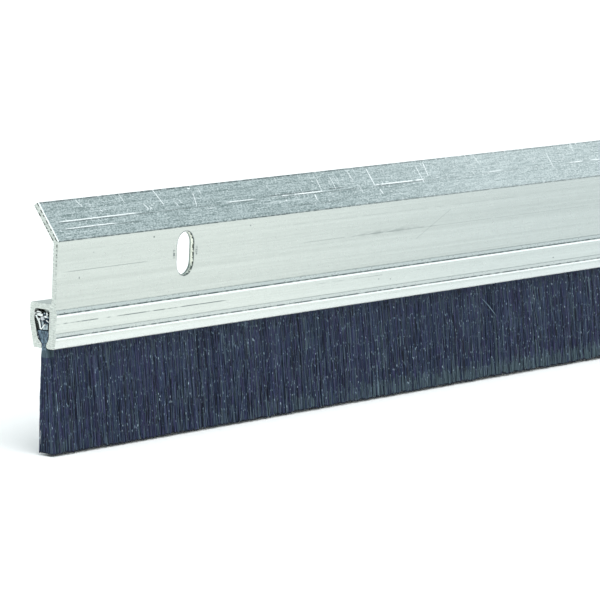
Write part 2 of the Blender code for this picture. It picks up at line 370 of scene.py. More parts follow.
def dark_marks(tree, grain):
    """Where the metal is dark: painted shade in the grooves, at the bend and round the slots' rims, a darker
    top edge, punch marks, dark lines, a smudge, spots, specks.
    """
    smudge_shape = tree.band(tree.along, *SMUDGE_ALONG, 9.0)
    smudge_shape = tree.product(smudge_shape, tree.band(tree.height, *SMUDGE_HEIGHT, 0.4))
    smudge_grain = tree.noise((0.5, 3.0, 3.0), 3.0, 23.0)
    smudge = tree.product(smudge_shape, tree.ramp(smudge_grain, 0.3, 0.65, 0.0, 0.4))
    spots = tree.node("ShaderNodeTexVoronoi", {"Vector": tree.place, "Scale": 0.16}, "Distance")
    spot_keep = tree.ramp(tree.noise((0.05, 0.05, 0.05), 0.0, 31.0), 0.55, 0.60)
    spot_shape = tree.ramp(spots, 0.022, 0.03, 0.8, 0.0)
    spot = tree.product(spot_shape, spot_keep, tree.ramp(tree.along, 140.0, 160.0))
    specks = together(tree, stroke, (*SPECKS, WEB_SCRATCH))

    rim = from_slots(tree)
    punch_marks = tree.product(
        tree.band(rim, 0.55, 1.0, 0.15),
        tree.band(tree.height, SLOT_HEIGHT - 0.5, SLOT_HEIGHT + 0.9, 0.4),
    )
    # Painted shade: the dark bands along the ledges and in the bend, and a painted dark outline round each
    # slot's rim; also a darker line along the flange's top edge
    edges = tree.total(
        bands(tree, PAINTED_SHADE_BANDS),
        tree.product(tree.ramp(tree.height, 40.95, 41.1), 0.9),
        tree.band(rim, -0.3, 0.14, 0.07),
    )
    broken = tree.noise((0.9, 0.9, 0.9), 3.0, 29.0)
    edges = tree.product(edges, tree.ramp(broken, 0.35, 0.6, 0.3, 0.95))
    edges = tree.total(edges, tree.product(punch_marks, tree.ramp(grain, 0.44, 0.54), 0.9))
    dark = together(tree, along_line, DARK_LINES)
    darkening = tree.total(tree.product(dark, 0.9), smudge, spot, specks)
    return tree.math("MINIMUM", tree.math("MAXIMUM", darkening, edges), 1.0)


def mill_aluminium():
    """The skin of the extrusion: a pale web with die lines, and a greyer, rolled and grainy flange."""
    tree = Tree("mill_aluminium")
    on_flange = tree.ramp(tree.height, BEND_HEIGHT - 0.1, BEND_HEIGHT + 0.1)
    die_lines = tree.noise((0.010, 2.6, 2.6), 4.0)
    broad_lines = tree.noise((0.004, 0.7, 0.7), 2.0, 3.0)
    rolled = tree.noise((0.30, 4.6, 4.6), 3.0, 37.0)
    grain = tree.noise((2.6, 4.8, 4.8), 2.0, 11.0)
    clouds = tree.noise((0.045, 0.35, 0.35), 3.0, 5.0)
    wear = tree.math("PINGPONG", tree.along, WEAR_TURNS_AT)
    # bright holds scratches and lines together with painted highlights; the dark marks hold stains, specks
    # and dark lines together with painted shade in the grooves, the bend and round the slots
    bright = light_marks(tree, on_flange, grain, wear)
    darkening = dark_marks(tree, grain)

    polished = tree.ramp(tree.height, 23.1, 23.3, 0.25, 0.0)
    web_tone = tree.total(
        tree.swing(die_lines, 0.6),
        tree.swing(broad_lines, 0.45),
        tree.swing(rolled, 0.35),
        tree.swing(grain, 0.3),
        polished,
        0.5,
    )
    flange_tone = tree.total(
        tree.swing(grain, 2.5),
        tree.swing(rolled, 1.7),
        tree.swing(die_lines, 0.6),
        tree.swing(clouds, 0.25),
        0.56,
    )
    web = tree.tint(web_tone, (0.465, 0.498, 0.472), (0.71, 0.745, 0.713))
    flange = tree.tint(flange_tone, (0.36, 0.425, 0.415), (0.96, 1.0, 0.985))
    along_ramp = tree.ramp(wear, 25.0, 150.0, 0.0, 0.85)
    shade = tree.tint(along_ramp, (1.0, 1.0, 0.985), (0.82, 0.85, 0.875))
    web = tree.node("ShaderNodeVectorMath", {0: web, 1: shade}, operation="MULTIPLY")
    clean = tree.tint(on_flange, web, flange)
    # The dark colour serves both the stains and the painted shade, and the light one both the scratches and
    # the painted highlights
    color = tree.tint(bright, tree.tint(darkening, clean, (0.11, 0.14, 0.145)), (0.92, 0.95, 0.95))
    tree.links.new(tree.ramp(bright, 0.0, 1.0, 1.0, 0.15), tree.shader.inputs["Metallic"])

    rough = tree.total(
        tree.ramp(on_flange, 0.0, 1.0, 0.30, 0.36),
        tree.swing(grain, 0.18),
        tree.product(darkening, 0.15),
    )
    relief = tree.total(
        tree.product(die_lines, 0.55),
        tree.product(grain, tree.ramp(on_flange, 0.0, 1.0, 0.10, 0.8)),
    )
    return tree.finish(color, rough, tree.bump(relief, 9.0))


def sawn_aluminium():
    """The cut ends: fine saw marks across the wall, and torn dashes along the flange's two edges."""
    tree = Tree("sawn_aluminium")
    marks = tree.noise((0.0, 1.2, 7.0), 3.0, 41.0)
    grain = tree.noise((6.0, 6.0, 6.0), 2.0, 43.0)
    tone = tree.total(tree.product(marks, 0.6), tree.product(grain, 0.4))
    clean = tree.tint(tree.ramp(tone, 0.3, 0.7), (0.43, 0.468, 0.44), (0.77, 0.81, 0.76))
    rise = tree.math("MAXIMUM", tree.math("SUBTRACT", tree.height, BEND_HEIGHT), 0.0)
    behind = tree.math("SUBTRACT", tree.depth, tree.product(rise, math.tan(FLANGE_SLOPE)))
    torn = 0.0
    for near, far, shift in TORN_LINES:
        dashes = tree.ramp(tree.noise((0.0, 0.0, 1.9), 1.0, shift), 0.47, 0.53)
        torn = tree.math("ADD", torn, tree.product(tree.band(behind, near, far, 0.06), dashes))
    torn_here = tree.ramp(tree.height, BEND_HEIGHT - 8.0, BEND_HEIGHT + 1.0, 0.1, 1.0)
    color = tree.tint(tree.product(torn, torn_here), clean, (0.06, 0.07, 0.06))
    rough = tree.ramp(grain, 0.2, 0.8, 0.36, 0.52)
    return tree.finish(color, rough, tree.bump(tone, 14.0))


def punched_aluminium():
    """The slots' walls: torn and dark at the front rim, bright where the punch sheared them, then greyer."""
    tree = Tree("punched_aluminium")
    drag = tree.noise((5.0, 0.6, 5.0), 2.0, 47.0)
    ragged = tree.noise((2.4, 2.4, 2.4), 2.0, 48.0)
    sheared = tree.tint(tree.ramp(drag, 0.3, 0.7), (0.66, 0.70, 0.60), (0.93, 0.95, 0.84))
    behind = tree.ramp(tree.depth, 0.55, 0.75)
    grey = tree.tint(behind, sheared, (0.26, 0.31, 0.28))
    edge = tree.math("SUBTRACT", tree.depth, tree.ramp(ragged, 0.35, 0.65, 0.0, 0.35))
    color = tree.tint(tree.ramp(edge, -0.02, 0.06), (0.05, 0.06, 0.05), grey)
    return tree.finish(color, tree.ramp(drag, 0.3, 0.7, 0.26, 0.40), tree.bump(drag, 10.0))


def galvanised_steel():
    tree = Tree("galvanised_steel")
    spangle = tree.node("ShaderNodeTexVoronoi", {"Vector": tree.place, "Scale": 1.1}, "Color")
    tone = tree.node("ShaderNodeSeparateColor", {0: spangle}, 0)
    wear = tree.noise((1.5, 1.5, 1.5), 3.0, 53.0)
    mixed = tree.total(tree.product(tone, 0.5), tree.product(wear, 0.5))
    color = tree.tint(mixed, (0.60, 0.65, 0.64), (0.95, 0.98, 0.96))
    rough = tree.ramp(wear, 0.3, 0.7, 0.14, 0.34)
    return tree.finish(color, rough, tree.bump(tree.total(tone, wear), 12.0))


def steel_painted_dark():
    """A darker copy of the spine's steel for the folds that show dark: painted shade and painted dark
    reflection.
    """
    tree = Tree("steel_painted_dark")
    wear = tree.noise((1.8, 1.8, 1.8), 3.0, 54.0)
    color = tree.tint(tree.ramp(wear, 0.3, 0.7), (0.12, 0.17, 0.20), (0.50, 0.58, 0.60))
    return tree.finish(color, tree.ramp(wear, 0.3, 0.7, 0.22, 0.42), tree.bump(wear, 12.0))


def wire_steel():
    tree = Tree("wire_steel")
    drawn = tree.noise((0.3, 9.0, 9.0), 2.0, 59.0)
    color = tree.tint(drawn, (0.34, 0.36, 0.38), (0.66, 0.68, 0.70))
    return tree.finish(color, tree.ramp(drawn, 0.3, 0.7, 0.30, 0.5), tree.bump(drawn, 6.0))


# The bristles' shades: colour, roughness and share of their long bits. Each is one plain colour, and what
# varies is which of them a bristle shows from one bit of its length to the next. A long bit and a short fleck
# follow each other by turns, and the flecks have shares of their own: they are painted highlights where a
# crimp catches the light, mostly teal and pale, with some dark ones
NYLON_SHADES = (
    ("nylon_ink", (0.010, 0.015, 0.032), 0.50, 0.18),
    ("nylon_navy", (0.028, 0.043, 0.098), 0.44, 0.36),
    ("nylon_violet", (0.044, 0.046, 0.120), 0.45, 0.20),
    ("nylon_slate", (0.050, 0.078, 0.120), 0.42, 0.20),
    ("nylon_teal", (0.085, 0.130, 0.160), 0.40, 0.06),
    ("nylon_pale", (0.210, 0.300, 0.380), 0.36, 0.001),
)
INK, NAVY, VIOLET, SLATE, TEAL, PALE = range(6)
FLECK_SHARES = (0.26, 0.04, 0.06, 0.12, 0.30, 0.22)
# Painted glints: short bits of a bristle in this bright colour
GLINT = ("nylon_glint", (0.42, 0.54, 0.64), 0.30)
CUT_TIP = ("nylon_cut_tip", (0.050, 0.080, 0.085), 0.60)


def nylon(name, color, roughness):
    material = bpy.data.materials.new(name)
    material.use_nodes = True
    shader = material.node_tree.nodes["Principled BSDF"]
    shader.inputs["Base Color"].default_value = (*color, 1.0)
    shader.inputs["Roughness"].default_value = roughness
    shader.inputs["Specular IOR Level"].default_value = 0.35
    return material


# ----------------------------------------------------------------------------------------------- geometry


# The carrier's materials, in the order of its material slots
MILL, SAWN, PUNCHED = range(3)

# How wide the carrier's edges are eased, in millimetres
EASED_AT_ENDS = 0.06
EASED_IN_FRONT = 0.09
EASED_BEHIND = 0.06

# An edge is eased, and drawn sharp, where its faces turn by more than this
EASED_FROM = math.radians(40)
SHARP_FROM = math.radians(50)


def new_piece(name, mesh, materials, body, replaced):
    piece = bpy.data.objects.new(name, mesh)
    bpy.context.scene.collection.objects.link(piece)
    mesh.materials.clear()
    for material in materials:
        mesh.materials.append(material)
    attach(piece, body)
    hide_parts(replaced)
    return piece


def copied_shape(node):
    """A CAD node's mesh with its points merged and its flat faces whole again."""
    shape = bmesh.new()
    shape.from_mesh(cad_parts[node].data)
    bmesh.ops.remove_doubles(shape, verts=shape.verts, dist=1e-6)
    flat = math.radians(0.5)
    bmesh.ops.dissolve_limit(shape, angle_limit=flat, verts=shape.verts, edges=shape.edges)
    return shape


def mesh_from(shape, name):
    mesh = bpy.data.meshes.new(name)
    shape.to_mesh(mesh)
    shape.free()
    return mesh


def from_end(point):
    return min(point.x - left, right - point.x)


def at_an_end(point):
    return from_end(point) < NEAR


def in_slot_wall(face):
    """Whether a face is part of a slot's wall: it looks across the wall, between the web's two faces."""
    center = face.calc_center_median()
    height = (center.z - tips) / MM
    depth = (center.y - web_front) / MM
    across = abs(face.normal.y) < 0.5 and abs(face.normal.x) + abs(face.normal.z) > 0.5
    beside = abs(height - SLOT_HEIGHT) < SLOT_LENGTH / 2 + 0.1
    return across and beside and 0.0 < depth < WALL and not at_an_end(center)


def make_carrier():
    """The extrusion as packed, with its sharp edges eased as a saw, a punch and handling leave them."""
    shape = copied_shape("carrier")
    sharp = [e for e in shape.edges if e.is_manifold and e.calc_face_angle() > EASED_FROM]
    ends = [e for e in sharp if all(at_an_end(v.co) for v in e.verts)]
    rims = [e for e in sharp if not any(at_an_end(v.co) for v in e.verts)]
    front = [e for e in rims if all(abs(v.co.y - web_front) < NEAR for v in e.verts)]
    back = [e for e in rims if e not in front]
    for edges, width in ((ends, EASED_AT_ENDS), (front, EASED_IN_FRONT), (back, EASED_BEHIND)):
        live = [e for e in edges if e.is_valid]
        bmesh.ops.bevel(shape, geom=live, offset=width * MM, segments=2, profile=0.6, affect="EDGES")
    for face in shape.faces:
        face.smooth = True
        if abs(face.normal.x) > 0.9 and at_an_end(face.calc_center_median()):
            face.material_index = SAWN
        elif in_slot_wall(face):
            face.material_index = PUNCHED
        else:
            face.material_index = MILL
    mesh = mesh_from(shape, "carrier_extrusion")
    indices = [p.material_index for p in mesh.polygons]
    materials = (mill_aluminium(), sawn_aluminium(), punched_aluminium())
    piece = new_piece("carrier_extrusion", mesh, materials, "carrier", "carrier")
    mesh.polygons.foreach_set("material_index", indices)
    mesh.set_sharp_from_angle(angle=SHARP_FROM)
    weighted = piece.modifiers.new("flat_faces", "WEIGHTED_NORMAL")
    weighted.keep_sharp = True


# Where the last millimetres of the spine and the wire are cut into rings, and how much each is dented
CRUMPLE_STEPS = (0.3, 0.7, 1.2, 1.8, 2.4)
CRUMPLE_REACH = CRUMPLE_STEPS[-1]
DENTS_PER_MM = 1.3
SPINE_DENTS = 0.35
WIRE_DENTS = 0.1


def crumple(shape, amount):
    """Cuts the last few millimetres into rings and dents them, more towards the cut."""
    # Blender's vector noise differs from run to run until its seed is set
    noise.seed_set(SEED)
    for end, inward in ((left, 1.0), (right, -1.0)):
        for step in CRUMPLE_STEPS:
            everything = shape.verts[:] + shape.edges[:] + shape.faces[:]
            cut = Vector((end + inward * step * MM, 0.0, 0.0))
            bmesh.ops.bisect_plane(shape, geom=everything, plane_co=cut, plane_no=(1.0, 0.0, 0.0), dist=1e-7)
    for vertex in shape.verts:
        share = max(0.0, 1.0 - from_end(vertex.co) / MM / CRUMPLE_REACH)
        dent = noise.noise_vector(vertex.co / MM * DENTS_PER_MM)
        inward = 1.0 if vertex.co.x < 0 else -1.0
        vertex.co.y += dent.y * share * amount * MM
        vertex.co.z -= abs(dent.z) * share * amount * MM
        vertex.co.x += inward * (abs(dent.x) * 2.0 + 0.1) * share * amount * MM


# The end of the sheet where the cutter folded it shut: each fold's corners as depth and height, and whether
# it is painted dark, as painted shade and reflection.
# The gaps between them are open
FOLDS = (
    (((4.42, 23.28), (4.05, 23.52), (3.15, 23.38), (3.30, 23.26), (3.95, 23.30)), False),
    (((4.36, 23.05), (3.90, 23.16), (3.02, 23.06), (3.00, 22.77), (3.45, 22.64), (4.22, 22.74)), False),
    (((2.58, 23.38), (2.34, 23.40), (2.28, 23.22), (2.52, 23.16)), True),
    (((2.08, 23.46), (1.80, 23.40), (1.76, 22.98), (2.02, 22.90)), False),
    (((2.85, 22.78), (2.18, 22.86), (2.06, 22.56), (2.66, 22.44)), False),
    (((2.12, 22.84), (1.80, 22.78), (1.80, 22.47), (2.02, 22.52)), True),
    (((3.78, 22.38), (3.54, 22.40), (3.30, 22.18), (3.50, 22.06)), False),
    (((3.05, 22.30), (2.42, 22.38), (2.38, 22.20), (2.95, 22.14)), True),
    (((2.26, 22.06), (2.14, 22.18), (1.72, 21.92), (1.74, 21.78)), False),
    (((4.46, 22.80), (4.22, 22.80), (3.50, 21.80), (3.30, 20.54), (3.56, 20.50), (3.80, 21.64)), False),
    (((3.18, 21.93), (2.70, 21.85), (2.72, 21.34), (2.98, 21.10)), True),
    (((2.50, 21.18), (2.10, 21.48), (1.72, 21.55), (1.70, 20.62), (2.66, 20.56)), True),
    (((3.32, 20.52), (2.80, 21.22), (2.14, 21.64), (2.56, 21.14), (3.06, 20.52)), False),
)
FOLD_MIDDLE = (3.0, 22.2)
FOLD_LENGTH = 2.0
FOLD_SUNK = (0.05, 0.30)
FOLD_TILT = 0.12

# The spine's cut edge, this close to the end, lies further in, so that only the folds show
SPINE_EDGE = 1.0
SPINE_SUNK = 1.6


def folded_end(shape, end, inward, rng):
    """Adds the folds at one end, each a closed block that reaches back to the sheet."""
    for outline, painted_dark in FOLDS:
        sunk = rng.uniform(*FOLD_SUNK) * MM
        tilt = rng.uniform(-FOLD_TILT, FOLD_TILT, 2)
        fronts = []
        backs = []
        for depth, height in outline:
            lean = (tilt[0] * (depth - FOLD_MIDDLE[0]) + tilt[1] * (height - FOLD_MIDDLE[1])) * MM
            spot = place(0.0, depth, height)
            spot.x = end + inward * max(sunk + lean, 0.02 * MM)
            fronts.append(shape.verts.new(spot))
            spot.x = end + inward * FOLD_LENGTH * MM
            backs.append(shape.verts.new(spot))
        count = len(outline)
        faces = [shape.faces.new(fronts), shape.faces.new(backs[::-1])]
        for i in range(count):
            following = (i + 1) % count
            corners = (fronts[following], fronts[i], backs[i], backs[following])
            faces.append(shape.faces.new(corners))
        bmesh.ops.recalc_face_normals(shape, faces=faces)
        for face in faces:
            # Folds marked dark take the steel painted dark, as painted shade
            face.material_index = int(painted_dark)


def make_spine():
    """The spine as packed, with both cut ends folded shut."""
    shape = copied_shape("brush_spine")
    crumple(shape, SPINE_DENTS)
    for vertex in shape.verts:
        if from_end(vertex.co) < SPINE_EDGE * MM:
            vertex.co.x += math.copysign(SPINE_SUNK * MM, -vertex.co.x)
    bmesh.ops.triangulate(shape, faces=shape.faces)
    rng = np.random.default_rng(SEED)
    folded_end(shape, left, 1.0, rng)
    folded_end(shape, right, -1.0, rng)
    mesh = mesh_from(shape, "crimped_spine")
    slots = [face.material_index for face in mesh.polygons]
    materials = [galvanised_steel(), steel_painted_dark()]
    new_piece("crimped_spine", mesh, materials, "brush_strip", "brush_spine")
    mesh.polygons.foreach_set("material_index", slots)


def make_wire():
    """The wire as packed, a little dented where it is cut."""
    shape = copied_shape("core_wire")
    crumple(shape, WIRE_DENTS)
    mesh = mesh_from(shape, "drawn_wire")
    mesh.shade_smooth()
    mesh.set_sharp_from_angle(angle=SHARP_FROM)
    new_piece("drawn_wire", mesh, [wire_steel()], "brush_strip", "core_wire")


# ----------------------------------------------------------------------------------------------- bristles

# Each bristle is a thin tube with this many sides. Its rings are its root, the place where it comes out of
# the carrier, two for each fleck, and two at its tip
SIDES = 3
FLECKS = 6
RINGS = 2 * FLECKS + 4

# How many there are, and how thick: stout ones just under the surface keep anything from showing through
SECTIONS = 14
BRISTLES_PER_MM = 25
STOUT_PER_MM = 5
END_BRISTLES = 70
END_REACH = 0.7
SIDE_SPREAD = 0.35
STOUT_SIDE = 0.5
STOUT_MARGIN = 0.3
BRISTLE_RADIUS = (0.048, 0.075)
STOUT_RADIUS = (0.20, 0.26)

# How they stand, in millimetres: clumps, crimps, lean along the sweep, and how uneven their tips are
CLUMP_LENGTH = 1.7
CLUMP_DEPTH = 0.03
CLUMP_LEAN = 0.03
LEAN_SEED, DEPTH_SEED, RAGGED_SEED, TUFT_SEED = 2.0, 5.0, 8.0, 9.0
CRIMP_LENGTH = 3.6
CRIMP_SPREAD = (0.8, 1.25)
CRIMP_WIDTH = 0.065
CRIMP_GROWS = 6.0
LEAN = 0.06
RAGGED_CLUMPS = 0.40
RAGGED_TUFTS = 0.35
TUFTS_PER_CLUMP = 2.7
RAGGED = 0.06
SHORT_SHARE = 0.02
SHORT_BY = (0.2, 1.4)
END_MARGIN = 0.08
ROOT_NARROWING = 0.92

# How they are coloured along their length. A fleck's length is a share of its bristle's, and the rest is in
# millimetres. The first bit under the lip is painted shadow, and painted light near the ends. More tips are
# painted pale, as a painted highlight, the further they are from the left end
FLECK_LENGTH = (0.008, 0.022)
FLECK_JITTER = 0.35
GLINT_SHARE = 0.20
SAME_SHADE = 0.45
PAINTED_LIGHT_ROOTS = 0.3
TIP_HIGHLIGHT_FROM = 35.0
TIP_HIGHLIGHT_TO = 110.0
TIP_HIGHLIGHT = (0.1, 0.75)
TIP_LENGTH = (0.6, 1.7)
CUT_LENGTH = 0.2
UNDER_LIP = 0.75
UNDER_LIP_AT_ENDS = 1.9


def bundle_sides(heights):
    """The front and back of the bundle at each height."""
    rows = sorted(BUNDLE)
    levels = [row[0] for row in rows]
    front = np.interp(heights, levels, [row[1] for row in rows])
    back = np.interp(heights, levels, [row[2] for row in rows])
    return front, back


def clump(values, seed):
    """A smooth random curve along the sweep, from about -1 to 1."""
    return np.array([noise.noise(Vector((v / CLUMP_LENGTH, seed, 0.5))) for v in values])


def near_an_end(along):
    return np.minimum(along, sweep_length - along) < END_REACH * 3


def by_turns(count, first, second):
    return np.where(np.arange(count) % 2, second, first)


def bristle_places(rng, start, end):
    """Where each bristle of a length stands along and across the sweep, its radius, and whether it is stout.

    Across the sweep, -1 is the front of the bundle and 1 its back. The fine ones stand near the one and the
    other by turns, and fill a cut end. The stout ones come last.
    """
    count = int((end - start) * BRISTLES_PER_MM)
    along = start + (np.arange(count) + rng.random(count)) / count * (end - start)
    side = by_turns(count, -1.0, 1.0) * (1.0 - SIDE_SPREAD * rng.random(count) ** 1.5)
    cut_ends = []
    if start < END_REACH:
        cut_ends.append(END_REACH * rng.random(END_BRISTLES))
    if end > sweep_length - END_REACH:
        cut_ends.append(sweep_length - END_REACH * rng.random(END_BRISTLES))
    end_side = [rng.uniform(-1.0, 1.0, len(row)) for row in cut_ends]
    stout_count = int((end - start) * STOUT_PER_MM)
    stout_share = (np.arange(stout_count) + 0.5) / stout_count
    stout = start + STOUT_MARGIN + stout_share * (end - start - 2 * STOUT_MARGIN)
    stout_side = by_turns(stout_count, -STOUT_SIDE, STOUT_SIDE)
    along = np.concatenate([along, *cut_ends, stout])
    side = np.concatenate([side, *end_side, stout_side])
    radius = rng.uniform(*BRISTLE_RADIUS, len(along))
    radius[-stout_count:] = rng.uniform(*STOUT_RADIUS, stout_count)
    return along, side, radius, np.arange(len(along)) >= len(along) - stout_count


def lowest_points(rng, along, stout, bottom):
    """How high each bristle ends: at the bottom, or for the free ones a little above it and unevenly."""
    count = len(along)
    clumps = RAGGED_CLUMPS * np.abs(clump(along, RAGGED_SEED))
    tufts = RAGGED_TUFTS * np.abs(clump(along * TUFTS_PER_CLUMP, TUFT_SEED))
    ragged = clumps + tufts + np.where(stout, 0.0, np.abs(rng.normal(0.0, RAGGED, count)))
    short = (rng.random(count) < SHORT_SHARE) & ~stout
    ragged = np.where(short, ragged + rng.uniform(*SHORT_BY, count), ragged)
    return bottom + ragged if bottom == 0.0 else np.full(count, bottom)


def ring_shares(rng, along, length, free):
    """How far down each bristle its rings lie, as shares of its length."""
    count = len(along)
    share = np.linspace(0.0, 1.0, RINGS)[None, :].repeat(count, 0)
    last = share[:, -2]
    if free:
        share[:, 1] = np.where(near_an_end(along), UNDER_LIP_AT_ENDS, UNDER_LIP) / length
        share[:, -2] = 1.0 - CUT_LENGTH / length
        last = 1.0 - rng.uniform(*TIP_LENGTH, count) / length
    jitter = rng.uniform(-FLECK_JITTER, FLECK_JITTER, (count, FLECKS))
    middle = (np.arange(FLECKS) + 0.5 + jitter) / FLECKS
    middle = share[:, 1:2] + (last[:, None] - share[:, 1:2]) * middle
    half = rng.uniform(*FLECK_LENGTH, (count, FLECKS)) / 2
    share[:, 2:-2:2] = middle - half
    share[:, 3:-2:2] = middle + half
    return share


def bristle_paths(rng, start, end, top, bottom):
    """Each bristle's rings as (along, depth, height), its radius, its glinting ring and if it is stout."""
    along, side, radius, stout = bristle_places(rng, start, end)
    count = len(along)
    free = bottom == 0.0
    length = top - lowest_points(rng, along, stout, bottom)
    share = ring_shares(rng, along, length, free)
    glints = (rng.random(count) < GLINT_SHARE) & ~stout
    ring = 2 + 2 * rng.integers(0, FLECKS, count)
    heights = top - share * length[:, None]

    front, back = bundle_sides(heights)
    depth = (front + back) / 2 + (back - front) / 2 * side[:, None] * (1.0 if free else ROOT_NARROWING)
    drop = np.clip((LIP_HEIGHT - heights) / LIP_HEIGHT, 0.0, 1.0)
    lean = rng.normal(0.0, LEAN, count) + CLUMP_LEAN * clump(along, LEAN_SEED)
    crimp = CRIMP_LENGTH * rng.uniform(*CRIMP_SPREAD, (count, 1))
    phase = rng.uniform(0.0, 2 * math.pi, (2, count, 1))
    width = CRIMP_WIDTH * np.minimum(drop * CRIMP_GROWS, 1.0)
    moved = along[:, None] + lean[:, None] * drop + np.sin(heights / crimp * 2 * math.pi + phase[0]) * width
    depth = depth + np.sin(heights / crimp * 2 * math.pi + phase[1]) * width
    depth = depth + (clump(along, DEPTH_SEED) * CLUMP_DEPTH)[:, None] * drop
    moved = np.clip(moved, END_MARGIN, sweep_length - END_MARGIN)
    return np.stack([moved, depth, heights], axis=2), radius, np.where(glints, ring, -1), stout


def bristle_shades(rng, paths, glint_rings, stout, shares, free):
    """Which material each bit of each bristle shows, between one ring and the next."""
    count = len(paths)
    bits = RINGS - 1
    odds = np.array(shares) / sum(shares)
    own = rng.choice(len(shares), count, p=odds)[:, None].repeat(bits, 1)
    other = rng.choice(len(shares), (count, bits), p=odds)
    shade = np.where(rng.random((count, bits)) < SAME_SHADE, own, other)
    fleck_odds = np.array(FLECK_SHARES) / sum(FLECK_SHARES)
    # The flecks are painted highlights at the crimps, with some dark ones
    shade[:, 2:-2:2] = rng.choice(len(FLECK_SHARES), (count, FLECKS), p=fleck_odds)
    if free:
        along = paths[:, 0, 0]
        along_ramp = np.interp(along, (TIP_HIGHLIGHT_FROM, TIP_HIGHLIGHT_TO), TIP_HIGHLIGHT)
        # The first bit, just under the lip, is painted shadow in the darkest shade, and near the ends painted
        # light in teal
        shade[:, 0] = np.where(near_an_end(along), TEAL, INK)
        # Painted highlight: more tips are painted teal the further they are from the left end
        shade[:, -2] = np.where(rng.random(count) < along_ramp, TEAL, shade[:, -2])
        shade[:, -1] = INK
    # Painted glints
    glint_here = np.arange(bits)[None, :] == glint_rings[:, None]
    shade = np.where(glint_here, len(shares), shade)
    if free:
        # Painted light: the stout ones lie in the fine ones' shade and are painted a lighter slate
        return np.where(stout[:, None], SLATE, shade)
    # Painted light: a share of the roots' bits turns pale, where the channel shades them
    return np.where(rng.random((count, bits)) < PAINTED_LIGHT_ROOTS, PALE, shade)


def tubes(name, paths, radii, turns):
    """A mesh of thin closed tubes along the paths: all their sides first, then the caps at their two ends."""
    count, rings = paths.shape[:2]
    turn = turns[:, None] + np.arange(SIDES) * 2 * math.pi / SIDES
    circle = np.stack([np.cos(turn), np.sin(turn), np.zeros_like(turn)], axis=2)
    points = paths[:, :, None, :] + circle[:, None] * radii[:, None, None, None]
    points = points.reshape(-1, 3) * MM
    points += np.array(place(0.0, 0.0, 0.0))

    first = (np.arange(count) * rings * SIDES)[:, None, None]
    ring = (np.arange(rings - 1) * SIDES)[None, :, None]
    side = np.arange(SIDES)[None, None, :]
    next_side = (side + 1) % SIDES
    a = first + ring + side
    b = first + ring + next_side
    quads = np.stack([a, a + SIDES, b + SIDES, b], axis=3).reshape(-1, 4)
    base = (np.arange(count) * rings * SIDES)[:, None]
    roots = base + np.arange(SIDES)[None, :]
    cuts = base + (rings - 1) * SIDES + np.arange(SIDES)[None, ::-1]
    caps = np.concatenate([roots, cuts])

    mesh = bpy.data.meshes.new(name)
    mesh.vertices.add(len(points))
    mesh.vertices.foreach_set("co", points.astype(np.float32).ravel())
    corners = np.concatenate([quads.ravel(), caps.ravel()])
    mesh.loops.add(len(corners))
    mesh.loops.foreach_set("vertex_index", corners.astype(np.int32))
    sizes = np.concatenate([np.full(len(quads), 4), np.full(len(caps), SIDES)])
    starts = np.concatenate([[0], np.cumsum(sizes)[:-1]])
    mesh.polygons.add(len(sizes))
    mesh.polygons.foreach_set("loop_start", starts.astype(np.int32))
    mesh.update(calc_edges=True)
    mesh.validate()
    return mesh


def bristle_piece(name, rng, start, end, top, bottom, materials, shares, strays=()):
    paths, radii, glint_rings, stout = bristle_paths(rng, start, end, top, bottom)
    shade = bristle_shades(rng, paths, glint_rings, stout, shares, free=bottom == 0.0)
    for stray in strays:
        paths = np.concatenate([paths, [stray]])
        radii = np.append(radii, STRAY_RADIUS)
        shade = np.concatenate([shade, np.full((1, RINGS - 1), PALE)])
    count = len(paths)
    mesh = tubes(name, paths, radii, rng.uniform(0.0, 2 * math.pi, count))
    for material in materials:
        mesh.materials.append(material)
    cut_tip = len(shares) + 1
    sides = shade[:, :, None].repeat(SIDES, 2).ravel()
    slots = np.concatenate([sides, shade[:, 0], np.full(count, cut_tip)])
    smooth = np.arange(len(slots)) < len(sides)
    mesh.polygons.foreach_set("material_index", slots.astype(np.int32))
    mesh.polygons.foreach_set("use_smooth", smooth)
    piece = bpy.data.objects.new(name, mesh)
    bpy.context.scene.collection.objects.link(piece)
    return piece


# Two loose bristles that lie across the front of the fringe: where each starts and ends
STRAYS = (
    ((122.6, 14.65), (125.9, 11.9)),
    ((123.5, 14.0), (126.8, 11.1)),
)
STRAY_RADIUS = 0.07
STRAY_PROUD = 0.12
STRAY_BOW = 1.2


def stray_path(start, end):
    share = np.linspace(0.0, 1.0, RINGS)
    along = start[0] + (end[0] - start[0]) * share
    height = start[1] + (end[1] - start[1]) * share**STRAY_BOW
    return np.stack([along, bundle_sides(height)[0] - STRAY_PROUD, height], axis=1)


def make_fringe(materials):
    """The free bristles, in lengths that each bend from the strip to the fringe."""
    shares = [shade[3] for shade in NYLON_SHADES]
    step = sweep_length / SECTIONS
    for number in range(SECTIONS):
        rng = np.random.default_rng(SEED + number)
        name = f"bristles_{number + 1:02d}"
        near = number * step
        far = (number + 1) * step
        strays = [stray_path(*ends) for ends in STRAYS if near <= ends[0][0] < far]
        piece = bristle_piece(name, rng, near, far, NECK_MIDDLE, 0.0, materials, shares, strays)
        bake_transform(piece)
        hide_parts("bristle_fringe")


# The bundle's solid body stops short of the cut ends, which separate bristles fill
BUNDLE_SHORT = 0.6
END_BUNDLE = (0.05, 1.6)
ROOT_SEED = SEED + 50
# The roots' cut ends take mostly slate, teal and pale, painted light where the channel shades them
ROOT_SHARES = (0.04, 0.03, 0.05, 0.20, 0.40, 0.28)


